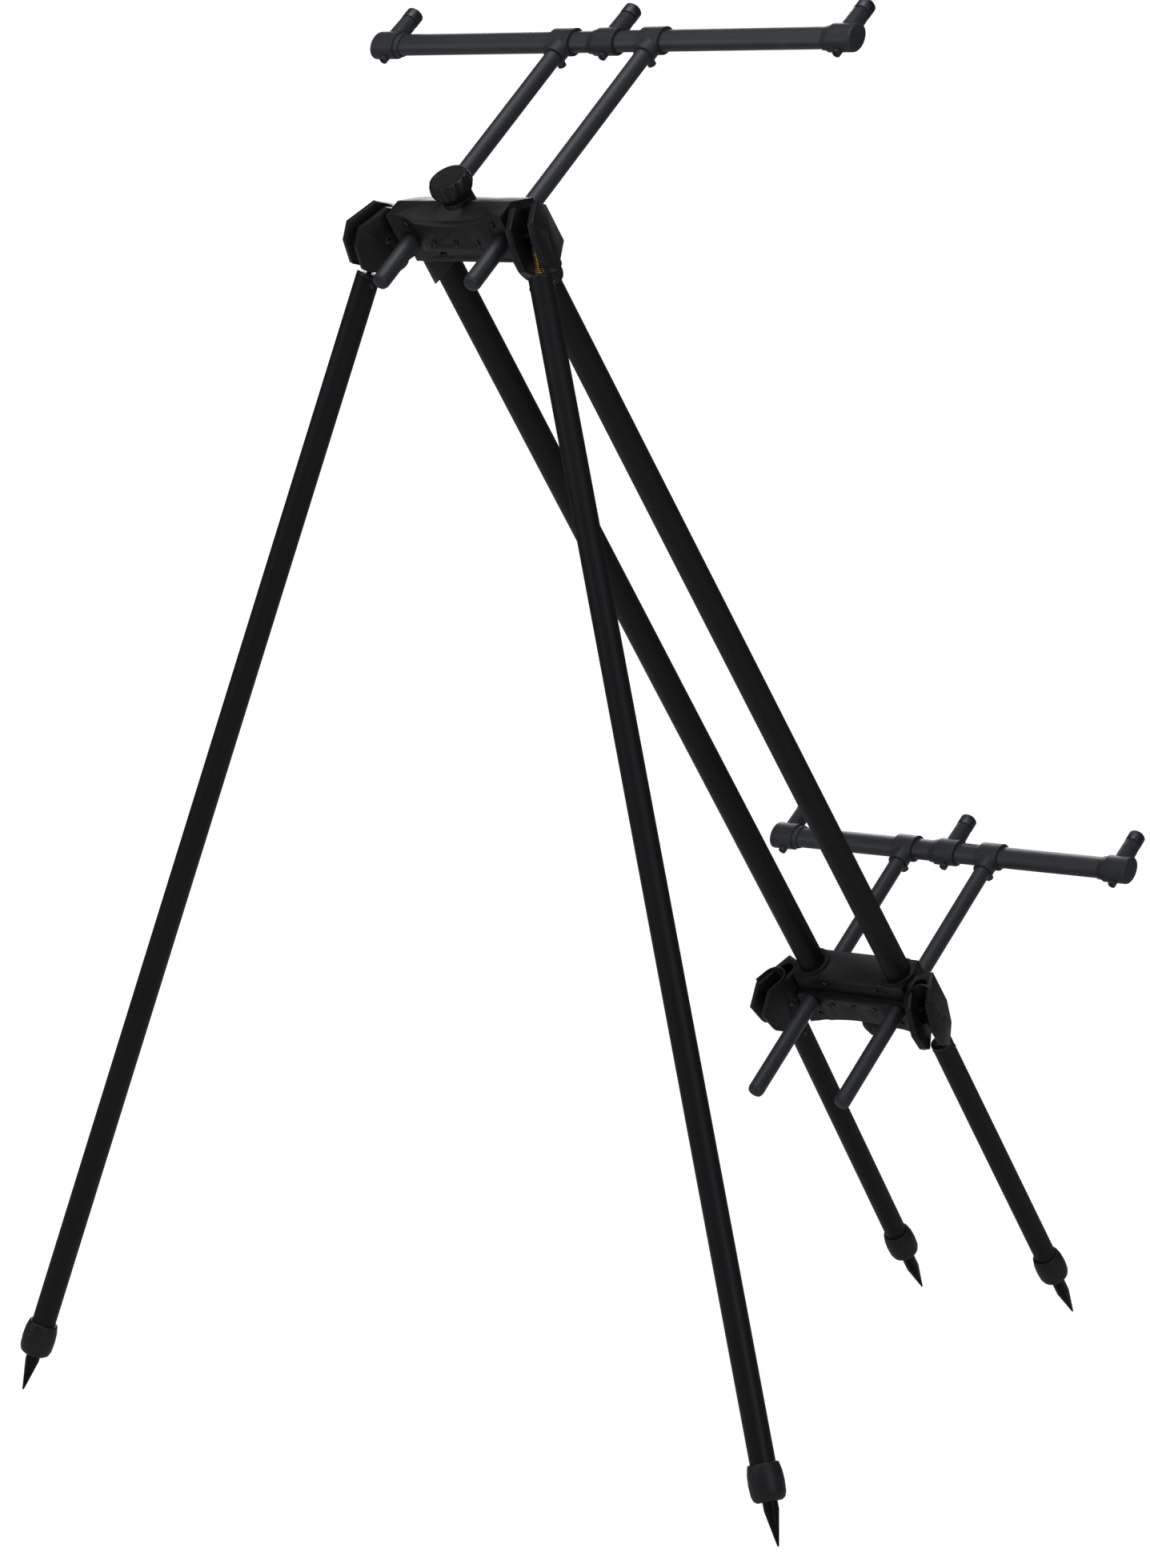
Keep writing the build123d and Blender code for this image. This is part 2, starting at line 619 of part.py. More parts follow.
# ---- assembly -------------------------------------------------------------------------------
def build_pod():
    """All nodes in the pod frame, as lists of solids."""
    nodes = {}
    front = {"head_body": head_body(), "head_cover": head_cover(), "clamp_yoke": clamp_yoke(),
             "clamp_knob": clamp_knob(), "clamp_bolt": clamp_bolt()}
    for name, piece in front.items():
        nodes["front_" + name] = [piece]
        nodes["rear_" + name] = [rear_head(piece)]
    screws = head_screws()
    pins = [hinge_pin(-1), hinge_pin(1)]
    nodes["head_screws"] = screws + [rear_head(s) for s in screws]
    nodes["hinge_pins"] = pins + [rear_head(p) for p in pins]
    nodes["main_bar_left"] = [main_bar(-1)]
    nodes["main_bar_right"] = [main_bar(1)]
    nodes["bar_sleeves"] = [bar_sleeve(-1), bar_sleeve(1)]
    for end, y, half, bar_z, below in (
            ("front", 0, FRONT_BAR_HALF, FRONT_BAR_Z, STEM_BELOW_FRONT),
            ("rear", HEAD_SPACING, REAR_BAR_HALF, REAR_BAR_Z, STEM_BELOW_REAR)):
        for name, piece in cross_bar(half, bar_z, below).items():
            solids = piece if isinstance(piece, list) else [piece]
            nodes[f"{end}_{name}"] = [Pos(0, y, bar_z) * s for s in solids]
    for side, side_name in ((-1, "left"), (1, "right")):
        front_leg = leg(0, side, PIN_Y, FRONT_LEG_ANGLE, FRONT_LEG, FRONT_SPIKE_OUT)
        rear_leg = leg(HEAD_SPACING, side, -PIN_Y, REAR_LEG_ANGLE, REAR_LEG, REAR_SPIKE_OUT)
        for name, piece in front_leg.items():
            nodes[f"front_{side_name}_{name}"] = [piece]
        for name, piece in rear_leg.items():
            nodes[f"rear_{side_name}_{name}"] = [piece]
    return nodes


def stand_on_ground(nodes):
    """Tilt the pod frame and put the origin under the middle of the bounding box."""
    tilt = Rot(-BAR_SLOPE, 0, 0)
    tilted = {name: [tilt * s for s in solids] for name, solids in nodes.items()}
    box = Compound(children=[s for solids in tilted.values() for s in solids]).bounding_box()
    shift = Pos(-(box.min.X + box.max.X) / 2, -(box.min.Y + box.max.Y) / 2, -box.min.Z)
    return {name: [shift * s for s in solids] for name, solids in tilted.items()}, shift * tilt


def main():
    os.makedirs("parts", exist_ok=True)
    nodes, place = stand_on_ground(build_pod())
    for name, solids in nodes.items():
        loose = [solid for shape in solids for solid in shape.solids()]
        shape = loose[0] if len(loose) == 1 else Compound(loose)
        shape.label = name
        export_step(shape, f"parts/{name}.step")
    print(len(nodes), "nodes; head spacing", round(HEAD_SPACING, 2), "pod origin", place.position)


main()
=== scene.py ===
import json
import math

import bmesh
import bpy
from mathutils import Matrix, Vector

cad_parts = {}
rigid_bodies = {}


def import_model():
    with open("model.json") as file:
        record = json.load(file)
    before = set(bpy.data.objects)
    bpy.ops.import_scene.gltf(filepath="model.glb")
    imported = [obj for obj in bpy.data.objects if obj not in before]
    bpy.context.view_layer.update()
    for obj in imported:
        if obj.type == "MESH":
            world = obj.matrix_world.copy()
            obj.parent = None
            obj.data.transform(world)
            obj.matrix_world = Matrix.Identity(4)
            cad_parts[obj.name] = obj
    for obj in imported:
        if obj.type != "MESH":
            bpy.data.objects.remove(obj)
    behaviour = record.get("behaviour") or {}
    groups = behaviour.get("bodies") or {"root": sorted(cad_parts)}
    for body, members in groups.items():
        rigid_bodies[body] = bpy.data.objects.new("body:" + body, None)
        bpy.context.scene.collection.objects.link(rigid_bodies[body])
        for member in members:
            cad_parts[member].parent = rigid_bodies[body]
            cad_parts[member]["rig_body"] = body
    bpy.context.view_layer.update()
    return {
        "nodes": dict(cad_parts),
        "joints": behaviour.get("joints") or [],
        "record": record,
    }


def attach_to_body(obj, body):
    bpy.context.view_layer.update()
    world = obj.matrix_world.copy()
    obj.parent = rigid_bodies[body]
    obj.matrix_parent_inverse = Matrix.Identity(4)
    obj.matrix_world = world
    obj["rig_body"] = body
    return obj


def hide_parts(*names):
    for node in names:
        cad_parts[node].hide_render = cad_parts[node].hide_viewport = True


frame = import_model()
nodes = frame["nodes"]
joints = {j["name"]: j for j in frame["joints"]}
ends = ("front", "rear")
sides = ("left", "right")
millimetre = 0.001

# directions that the whole stand is built on, read from its joints
stemUp = Vector(joints["front_bar_slide"]["axis"]).normalized()
acrossX = Vector((1, 0, 0))
barDown = stemUp.cross(acrossX)


def removeObject(thing):
    bpy.data.objects.remove(thing, do_unlink=True)


def newObject(name, mesh):
    piece = bpy.data.objects.new(name, mesh)
    bpy.context.scene.collection.objects.link(piece)
    return piece


def axesMatrix(place, upAxis, sideAxis):
    # local Z along upAxis and local X as near sideAxis as it can be
    z = Vector(upAxis).normalized()
    x = (Vector(sideAxis) - Vector(sideAxis).dot(z) * z).normalized()
    y = z.cross(x)
    turn = Matrix((x, y, z)).transposed().to_4x4()
    return Matrix.Translation(Vector(place)) @ turn


def smoothByAngle(mesh, degrees):
    for polygon in mesh.polygons:
        polygon.use_smooth = True
    mesh.set_sharp_from_angle(angle=math.radians(degrees))


def attach(piece, body, material, replaced=()):
    piece.data.materials.clear()
    piece.data.materials.append(material)
    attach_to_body(piece, body)
    if replaced:
        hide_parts(*replaced)
    return piece


def bodyOf(nodeName):
    return nodes[nodeName]["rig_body"]


def mergedCopy(nodeName):
    # one closed mesh from the node's loose triangles
    mesh = nodes[nodeName].data.copy()
    shape = bmesh.new()
    shape.from_mesh(mesh)
    bmesh.ops.remove_doubles(shape, verts=shape.verts, dist=0.005 * millimetre)
    shape.to_mesh(mesh)
    shape.free()
    return mesh


def looseParts(nodeName):
    # corner points of each separate solid in a node
    mesh = mergedCopy(nodeName)
    shape = bmesh.new()
    shape.from_mesh(mesh)
    bpy.data.meshes.remove(mesh)
    waiting = set(shape.verts)
    parts = []
    while waiting:
        seed = min(waiting, key=lambda v: v.index)
        found, edge = {seed}, [seed]
        while edge:
            corner = edge.pop()
            for link in corner.link_edges:
                other = link.other_vert(corner)
                if other not in found:
                    found.add(other)
                    edge.append(other)
        waiting -= found
        parts.append([v.co.copy() for v in sorted(found, key=lambda v: v.index)])
    shape.free()
    return parts


def nodeMaterial(name):
    material = bpy.data.materials.new(name)
    material.use_nodes = True
    tree = material.node_tree
    shader = tree.nodes["Principled BSDF"]
    return material, tree, shader


def objectPattern(tree, scale, turn=(0, 0, 0)):
    # a Mapping node scales before it turns, so the turn has its own node first
    place = tree.nodes.new("ShaderNodeTexCoord")
    turning = tree.nodes.new("ShaderNodeMapping")
    turning.inputs["Rotation"].default_value = turn
    scaling = tree.nodes.new("ShaderNodeMapping")
    scaling.inputs["Scale"].default_value = scale
    tree.links.new(place.outputs["Object"], turning.inputs["Vector"])
    tree.links.new(turning.outputs["Vector"], scaling.inputs["Vector"])
    return scaling.outputs["Vector"]


def noiseOn(tree, vector, scale, detail=3.0, roughness=0.55):
    noise = tree.nodes.new("ShaderNodeTexNoise")
    noise.inputs["Scale"].default_value = scale
    noise.inputs["Detail"].default_value = detail
    noise.inputs["Roughness"].default_value = roughness
    tree.links.new(vector, noise.inputs["Vector"])
    return noise.outputs["Fac"]


def spread(tree, factor, low, high, noiseLow=0.3, noiseHigh=0.7):
    # noise seldom leaves the middle of its range, so that part fills the whole of the new one
    ranger = tree.nodes.new("ShaderNodeMapRange")
    ranger.inputs["To Min"].default_value = low
    ranger.inputs["To Max"].default_value = high
    ranger.inputs["From Min"].default_value = noiseLow
    ranger.inputs["From Max"].default_value = noiseHigh
    tree.links.new(factor, ranger.inputs["Value"])
    return ranger.outputs["Result"]


def colourBetween(tree, factor, dark, light):
    mixer = tree.nodes.new("ShaderNodeMix")
    mixer.data_type = "RGBA"
    mixer.inputs["A"].default_value = (*dark, 1)
    mixer.inputs["B"].default_value = (*light, 1)
    tree.links.new(factor, mixer.inputs["Factor"])
    return mixer.outputs["Result"]


def bumpFrom(tree, shader, height, strength, distance):
    bump = tree.nodes.new("ShaderNodeBump")
    bump.inputs["Strength"].default_value = strength
    bump.inputs["Distance"].default_value = distance
    tree.links.new(height, bump.inputs["Height"])
    tree.links.new(bump.outputs["Normal"], shader.inputs["Normal"])


# limb and bar are one black anodise in two brightnesses: the limb colours are darkened as painted shade for
# the legs and main bars, and the bar colours are lifted as painted light for the stems and cross bars under
# the top light
anodised = {
    # drawLines: across and along the tube, per metre
    "limbPaintedShade": {"dark": (0.0034, 0.0035, 0.0041), "light": (0.0058, 0.0060, 0.0072), "specular": 0.20,
             "roughness": (0.46, 0.58), "drawLines": (300, 3), "patches": 9, "bump": 0.02},
    "bar": {"dark": (0.0175, 0.0183, 0.0230), "light": (0.0270, 0.0283, 0.0360), "specular": 0.46,
            "roughness": (0.44, 0.56), "drawLines": (300, 3), "patches": 9, "bump": 0.015},
}
lineDepth = 0.02 * millimetre
grainDepth = 0.05 * millimetre


def tubeFinish(name, along, settings):
    # satin anodised tube with faint drawing lines that run along it
    material, tree, shader = nodeMaterial(name)
    direction = Vector(along).normalized()
    turn = direction.rotation_difference(Vector((0, 0, 1))).to_euler()
    across, down = settings["drawLines"]
    lines = noiseOn(tree, objectPattern(tree, (across, across, down), turn), 1.0, 2.0)
    patches = noiseOn(tree, objectPattern(tree, [settings["patches"]] * 3), 1.0, 4.0)
    shade = colourBetween(tree, spread(tree, patches, 0, 1), settings["dark"], settings["light"])
    tree.links.new(shade, shader.inputs["Base Color"])
    tree.links.new(spread(tree, lines, *settings["roughness"]), shader.inputs["Roughness"])
    shader.inputs["Specular IOR Level"].default_value = settings["specular"]
    bumpFrom(tree, shader, lines, settings["bump"], lineDepth)
    return material


# head and fitting are one black nylon in two brightnesses: the head colours are darkened as painted shade,
# and the fitting colours are lifted as painted light for the tees and sockets under the top light
mouldingsLitAndShaded = {
    "head": {"dark": (0.0030, 0.0030, 0.0034), "light": (0.0060, 0.0062, 0.0072), "specular": 0.3,
             "roughness": (0.42, 0.56), "grain": 1500, "patches": 38.0, "bump": 0.20},
    "fitting": {"dark": (0.0190, 0.0197, 0.0240), "light": (0.0290, 0.0300, 0.0365), "specular": 0.3,
                "roughness": (0.46, 0.58), "grain": 1900, "patches": 38.0, "bump": 0.14},
    "knob": {"dark": (0.0050, 0.0051, 0.0058), "light": (0.0090, 0.0093, 0.0106), "specular": 0.3,
             "roughness": (0.40, 0.54), "grain": 1700, "patches": 38.0, "bump": 0.16},
    "foot": {"dark": (0.0050, 0.0052, 0.0060), "light": (0.0095, 0.0098, 0.0114), "specular": 0.3,
             "roughness": (0.44, 0.58), "grain": 1400, "patches": 38.0, "bump": 0.20},
}


def mouldedFinish(name, settings):
    # moulded nylon: fine spark-eroded grain over slow patches of gloss
    material, tree, shader = nodeMaterial(name)
    vector = objectPattern(tree, (1, 1, 1))
    grain = noiseOn(tree, vector, settings["grain"], 2.0)
    patches = noiseOn(tree, vector, settings["patches"], 4.0)
    shade = colourBetween(tree, spread(tree, patches, 0, 1), settings["dark"], settings["light"])
    tree.links.new(shade, shader.inputs["Base Color"])
    tree.links.new(spread(tree, patches, *settings["roughness"]), shader.inputs["Roughness"])
    shader.inputs["Specular IOR Level"].default_value = settings["specular"]
    bumpFrom(tree, shader, grain, settings["bump"], grainDepth)
    return material


metals = {
    "springBrass": {"dark": (0.36, 0.21, 0.06), "light": (0.70, 0.46, 0.16), "roughness": (0.22, 0.38)},
    "darkSteel": {"dark": (0.008, 0.008, 0.009), "light": (0.020, 0.020, 0.022), "roughness": (0.34, 0.50)},
    "insertMetal": {"dark": (0.050, 0.052, 0.060), "light": (0.085, 0.088, 0.100), "roughness": (0.40, 0.54)},
    "screwSteel": {"dark": (0.030, 0.030, 0.032), "light": (0.070, 0.070, 0.075), "roughness": (0.26, 0.42)},
}
metalPatches = {"scale": 260.0, "detail": 5.0, "bump": 0.08}


def metalFinish(name, settings):
    material, tree, shader = nodeMaterial(name)
    vector = objectPattern(tree, (1, 1, 1))
    patches = noiseOn(tree, vector, metalPatches["scale"], metalPatches["detail"])
    shade = colourBetween(tree, spread(tree, patches, 0, 1), settings["dark"], settings["light"])
    tree.links.new(shade, shader.inputs["Base Color"])
    tree.links.new(spread(tree, patches, *settings["roughness"]), shader.inputs["Roughness"])
    shader.inputs["Metallic"].default_value = 1.0
    bumpFrom(tree, shader, patches, metalPatches["bump"], grainDepth)
    return material


legAxis = {}
legPin = {}
legAcross = {}
for end in ends:
    for side in sides:
        key = f"{end}_{side}"
        legAxis[key] = Vector(joints[f"{key}_leg_pull"]["axis"]).normalized()
        legPin[key] = Vector(joints[f"{key}_leg_swing"]["pos_m"])
        legAcross[key] = Vector(joints[f"{key}_leg_swing"]["axis"]).normalized()

# stems and cross bar take the lighter copy with painted light, main bars and legs the darker copy with
# painted shade
tubeMaterials = {
    "mainBar": tubeFinish("mainBarAnodisedPaintedShade", barDown, anodised["limbPaintedShade"]),
    "stem": tubeFinish("stemAnodisedPaintedLight", stemUp, anodised["bar"]),
    "crossBar": tubeFinish("crossBarAnodisedPaintedLight", acrossX, anodised["bar"]),
}
for key, direction in legAxis.items():
    tubeMaterials[key] = tubeFinish(f"{key}LegAnodisedPaintedShade", direction, anodised["limbPaintedShade"])
mouldedMaterials = {name: mouldedFinish(name + "Moulding", values) for name, values in mouldingsLitAndShaded.items()}
metalMaterials = {name: metalFinish(name, values) for name, values in metals.items()}
print("materials made:", len(tubeMaterials) + len(mouldedMaterials) + len(metalMaterials))


edges = {
    "segments": 2,
    "flattenBelow": 0.6,  # degrees between faces that count as one
    "roundAbove": 28,
    "sharpAbove": 35,
}


def dressNode(nodeName, material, slotName, bevelInMm):
    # the node's own shape with its edges rounded, standing in for its loose triangles
    mesh = mergedCopy(nodeName)
    piece = newObject(nodeName + "Shape", mesh)
    if bevelInMm:
        tidy = piece.modifiers.new("flatten", "DECIMATE")
        tidy.decimate_type = "DISSOLVE"
        tidy.angle_limit = math.radians(edges["flattenBelow"])
        rounding = piece.modifiers.new("rounding", "BEVEL")
        rounding.width = bevelInMm * millimetre
        rounding.segments = edges["segments"]
        rounding.limit_method = "ANGLE"
        rounding.angle_limit = math.radians(edges["roundAbove"])
        rounding.harden_normals = False
        rounding.use_clamp_overlap = True
        bpy.context.view_layer.update()
        seen = piece.evaluated_get(bpy.context.evaluated_depsgraph_get())
        finished = bpy.data.meshes.new_from_object(seen)
        piece.modifiers.clear()
        piece.data = finished
        bpy.data.meshes.remove(mesh)
    smoothByAngle(piece.data, edges["sharpAbove"])
    return attach(piece, bodyOf(nodeName), material, (nodeName,))


# piece: finish, slot, edge rounding in millimetres
# head pieces and bar sleeves take the darker moulding with painted shade, tees and sockets the lighter one
# with painted light
endPieces = {
    "head_body": (mouldedMaterials["head"], "head_plastic", 0.7),
    "head_cover": (mouldedMaterials["head"], "head_plastic", 0.4),
    "clamp_yoke": (metalMaterials["darkSteel"], "head_plastic", 0.4),
    "clamp_bolt": (metalMaterials["darkSteel"], "dark_steel", 0),
    "bar_tube": (tubeMaterials["crossBar"], "grey_black_tube", 0),
    "stem_tees": (mouldedMaterials["fitting"], "fitting_plastic", 0.6),
    "stem_plugs": (mouldedMaterials["fitting"], "fitting_plastic", 0.2),
    "rest_inserts": (metalMaterials["insertMetal"], "insert_metal", 0.3),
    "grub_screws": (metalMaterials["screwSteel"], "dark_steel", 0.2),
    "socket_left": (mouldedMaterials["fitting"], "fitting_plastic", 0.6),
    "socket_middle": (mouldedMaterials["fitting"], "fitting_plastic", 0.6),
    "socket_right": (mouldedMaterials["fitting"], "fitting_plastic", 0.6),
}
legPieces = {
    "leg_plug": (mouldedMaterials["knob"], "plug_plastic", 0.3),
    "leg_rod": (metalMaterials["darkSteel"], "dark_steel", 0.3),
    "foot_cap": (mouldedMaterials["foot"], "foot_plastic", 0.4),
    "spike": (metalMaterials["darkSteel"], "dark_steel", 0.2),
}
for end in ends:
    for name, finish in endPieces.items():
        dressNode(f"{end}_{name}", *finish)
    for side in sides:
        key = f"{end}_{side}"
        dressNode(f"{end}_stem_{side}", tubeMaterials["stem"], "grey_black_tube", 0)
        dressNode(f"{key}_leg_tube", tubeMaterials[key], "black_tube", 0)
        for name, finish in legPieces.items():
            dressNode(f"{key}_{name}", *finish)
for side in sides:
    dressNode(f"main_bar_{side}", tubeMaterials["mainBar"], "black_tube", 0)
dressNode("bar_sleeves", mouldedMaterials["head"], "head_plastic", 0.6)
dressNode("hinge_pins", metalMaterials["screwSteel"], "dark_steel", 0.3)
print("frame pieces dressed")


def newTree(name, inputs):
    tree = bpy.data.node_groups.new(name, "GeometryNodeTree")
    tree.interface.new_socket("Geometry", in_out="INPUT", socket_type="NodeSocketGeometry")
    for label, kind, value in inputs:
        socket = tree.interface.new_socket(label, in_out="INPUT", socket_type=kind)
        if value is not None:
            socket.default_value = value
    tree.interface.new_socket("Geometry", in_out="OUTPUT", socket_type="NodeSocketGeometry")
    return tree, tree.nodes.new("NodeGroupInput"), tree.nodes.new("NodeGroupOutput")


def endTree(tree, source, geometry, out):
    # realised and given its material, because the export drops instances
    realise = tree.nodes.new("GeometryNodeRealizeInstances")
    painter = tree.nodes.new("GeometryNodeSetMaterial")
    tree.links.new(geometry, realise.inputs["Geometry"])
    tree.links.new(realise.outputs["Geometry"], painter.inputs["Geometry"])
    tree.links.new(source.outputs["Material"], painter.inputs["Material"])
    tree.links.new(painter.outputs["Geometry"], out.inputs["Geometry"])


def grow(name, tree, values, startMesh=None):
    # runs a tree on a start mesh and returns the plain mesh it makes
    holder = newObject(name, startMesh or bpy.data.meshes.new(name + "Start"))
    modifier = holder.modifiers.new("grow", "NODES")
    modifier.node_group = tree
    labels = {s.name: s.identifier for s in tree.interface.items_tree if s.in_out == "INPUT"}
    for label, value in values.items():
        modifier[labels[label]] = value
    bpy.context.view_layer.update()
    seen = holder.evaluated_get(bpy.context.evaluated_depsgraph_get())
    mesh = bpy.data.meshes.new_from_object(seen)
    holder.modifiers.clear()
    holder.data = mesh
    return holder


def coilTree():
    tree, source, out = newTree("coilTree", [
        ("Turns", "NodeSocketFloat", 12.0), ("Radius", "NodeSocketFloat", 0.003),
        ("Length", "NodeSocketFloat", 0.03), ("Wire", "NodeSocketFloat", 0.001),
        ("Material", "NodeSocketMaterial", None)])
    spiral = tree.nodes.new("GeometryNodeCurveSpiral")
    spiral.inputs["Resolution"].default_value = 22  # points in each turn
    ring = tree.nodes.new("GeometryNodeCurvePrimitiveCircle")
    ring.inputs["Resolution"].default_value = 10
    sweep = tree.nodes.new("GeometryNodeCurveToMesh")
    sweep.inputs["Fill Caps"].default_value = True
    tree.links.new(source.outputs["Turns"], spiral.inputs["Rotations"])
    tree.links.new(source.outputs["Radius"], spiral.inputs["Start Radius"])
    tree.links.new(source.outputs["Radius"], spiral.inputs["End Radius"])
    tree.links.new(source.outputs["Length"], spiral.inputs["Height"])
    tree.links.new(source.outputs["Wire"], ring.inputs["Radius"])
    tree.links.new(spiral.outputs["Curve"], sweep.inputs["Curve"])
    tree.links.new(ring.outputs["Curve"], sweep.inputs["Profile Curve"])
    endTree(tree, source, sweep.outputs["Mesh"], out)
    return tree


def knurlTree():
    # rows of small beads round a ring
    tree, source, out = newTree("knurlTree", [
        ("Around", "NodeSocketInt", 36), ("Rows", "NodeSocketInt", 4), ("Radius", "NodeSocketFloat", 0.008),
        ("Row Step", "NodeSocketVector", (0, 0, 0.002)), ("Bead", "NodeSocketFloat", 0.0006),
        ("Material", "NodeSocketMaterial", None)])
    line = tree.nodes.new("GeometryNodeMeshLine")
    ring = tree.nodes.new("GeometryNodeMeshCircle")
    stack = tree.nodes.new("GeometryNodeInstanceOnPoints")
    flat = tree.nodes.new("GeometryNodeRealizeInstances")
    bead = tree.nodes.new("GeometryNodeMeshIcoSphere")
    bead.inputs["Subdivisions"].default_value = 1
    scatter = tree.nodes.new("GeometryNodeInstanceOnPoints")
    tree.links.new(source.outputs["Rows"], line.inputs["Count"])
    tree.links.new(source.outputs["Row Step"], line.inputs["Offset"])
    tree.links.new(source.outputs["Around"], ring.inputs["Vertices"])
    tree.links.new(source.outputs["Radius"], ring.inputs["Radius"])
    tree.links.new(source.outputs["Bead"], bead.inputs["Radius"])
    tree.links.new(line.outputs["Mesh"], stack.inputs["Points"])
    tree.links.new(ring.outputs["Mesh"], stack.inputs["Instance"])
    tree.links.new(stack.outputs["Instances"], flat.inputs["Geometry"])
    tree.links.new(flat.outputs["Geometry"], scatter.inputs["Points"])
    tree.links.new(bead.outputs["Mesh"], scatter.inputs["Instance"])
    endTree(tree, source, scatter.outputs["Instances"], out)
    return tree


def screwTree():
    # one screw head on each start point, all turned one way
    tree, source, out = newTree("screwTree", [
        ("Screw", "NodeSocketObject", None), ("Turn", "NodeSocketRotation", None),
        ("Material", "NodeSocketMaterial", None)])
    screw = tree.nodes.new("GeometryNodeObjectInfo")
    scatter = tree.nodes.new("GeometryNodeInstanceOnPoints")
    tree.links.new(source.outputs["Screw"], screw.inputs["Object"])
    tree.links.new(source.outputs["Geometry"], scatter.inputs["Points"])
    tree.links.new(screw.outputs["Geometry"], scatter.inputs["Instance"])
    tree.links.new(source.outputs["Turn"], scatter.inputs["Rotation"])
    endTree(tree, source, scatter.outputs["Instances"], out)
    return tree


legSpring = {
    "wire": 0.62 * millimetre,  # wire radius
    "coilRadius": 3.3 * millimetre,
    "pitch": 1.9 * millimetre,
    "smoothBelow": 60,  # degrees
}
coils = coilTree()
for key, direction in legAxis.items():
    node = f"{key}_leg_spring"
    reach = [(Vector(c) - legPin[key]).dot(direction) for part in looseParts(node) for c in part]
    start, stop = min(reach) + legSpring["wire"], max(reach) - legSpring["wire"]
    spring = grow(node + "Coil", coils, {
        "Turns": (stop - start) / legSpring["pitch"], "Radius": legSpring["coilRadius"],
        "Length": stop - start, "Wire": legSpring["wire"], "Material": metalMaterials["springBrass"]})
    spring.data.transform(axesMatrix(legPin[key] + start * direction, direction, legAcross[key]))
    smoothByAngle(spring.data, legSpring["smoothBelow"])
    attach(spring, bodyOf(node), metalMaterials["springBrass"], (node,))
print("springs wound")


insertKnurl = {
    "around": 52,
    "rows": 8,
    "bead": 0.34 * millimetre,
    "bandLength": 7.8 * millimetre,
    "belowTop": 2.2 * millimetre,
    "radius": 8.05 * millimetre,
}
knurls = knurlTree()
for end in ends:
    pieces = []
    slide = joints[f"{end}_bar_slide"]["child"]
    for which in ("left", "middle", "right"):
        mount = next(m for m in frame["record"]["mounts"] if m["name"] == f"rod_rest_{end}_{which}")
        centre = Vector(mount["pos_m"])
        parts = looseParts(f"{end}_rest_inserts")
        near = min(parts, key=lambda p: (sum(p, Vector()) / len(p) - centre).length)
        top = max(c.dot(stemUp) for c in near)
        base = centre + (top - centre.dot(stemUp)) * stemUp
        rowStep = insertKnurl["bandLength"] / (insertKnurl["rows"] - 1)
        ring = grow(f"{end}Knurl{which}", knurls, {
            "Around": insertKnurl["around"], "Rows": insertKnurl["rows"], "Radius": insertKnurl["radius"],
            "Row Step": (0, 0, rowStep), "Bead": insertKnurl["bead"],
            "Material": metalMaterials["insertMetal"]})
        drop = insertKnurl["belowTop"] + insertKnurl["bandLength"]
        ring.data.transform(axesMatrix(base - drop * stemUp, stemUp, acrossX))
        pieces.append(ring)
    joined = bmesh.new()
    for ring in pieces:
        joined.from_mesh(ring.data)
    mesh = bpy.data.meshes.new(f"{end}InsertKnurls")
    joined.to_mesh(mesh)
    joined.free()
    for ring in pieces:
        removeObject(ring)
    knurl = newObject(f"{end}InsertKnurls", mesh)
    attach(knurl, slide, metalMaterials["insertMetal"])
print("inserts knurled")


screwHead = {
    "radius": 2.9 * millimetre,
    "height": 1.5 * millimetre,
    "recess": 0.8 * millimetre,
    "socket": 1.15 * millimetre,  # hexagon across its corners, halved
}
headShape = {"steps": 5, "around": 24, "domeTo": 78, "rim": 1.5, "smoothBelow": 40}


def screwHeadMesh(name, settings):
    # domed head with a hexagon socket, standing on the ground plane
    shape = bmesh.new()
    steps, around = headShape["steps"], headShape["around"]
    rows = []
    for step in range(steps):
        lift = math.radians(headShape["domeTo"]) * step / (steps - 1)
        row = []
        for turn in range(around):
            angle = 2 * math.pi * turn / around
            reach = settings["radius"] * math.cos(lift)
            reach = max(reach, headShape["rim"] * settings["socket"])
            height = settings["height"] * math.sin(lift)
            row.append(shape.verts.new((reach * math.cos(angle), reach * math.sin(angle), height)))
        rows.append(row)
    hexagon = []
    for level in (rows[-1][0].co.z, rows[-1][0].co.z - settings["recess"]):
        row = []
        for turn in range(around):
            angle = 2 * math.pi * turn / around
            offset = (angle % (math.pi / 3)) - math.pi / 6
            reach = settings["socket"] * math.cos(math.pi / 6) / math.cos(offset)
            row.append(shape.verts.new((reach * math.cos(angle), reach * math.sin(angle), level)))
        hexagon.append(row)
    rings = rows + hexagon
    for lower, upper in zip(rings, rings[1:]):
        for turn in range(around):
            nextTurn = (turn + 1) % around
            shape.faces.new((lower[turn], lower[nextTurn], upper[nextTurn], upper[turn]))
    shape.faces.new(rings[-1])
    shape.faces.new(list(reversed(rings[0])))
    bmesh.ops.recalc_face_normals(shape, faces=shape.faces)
    mesh = bpy.data.meshes.new(name)
    shape.to_mesh(mesh)
    shape.free()
    smoothByAngle(mesh, headShape["smoothBelow"])
    return mesh


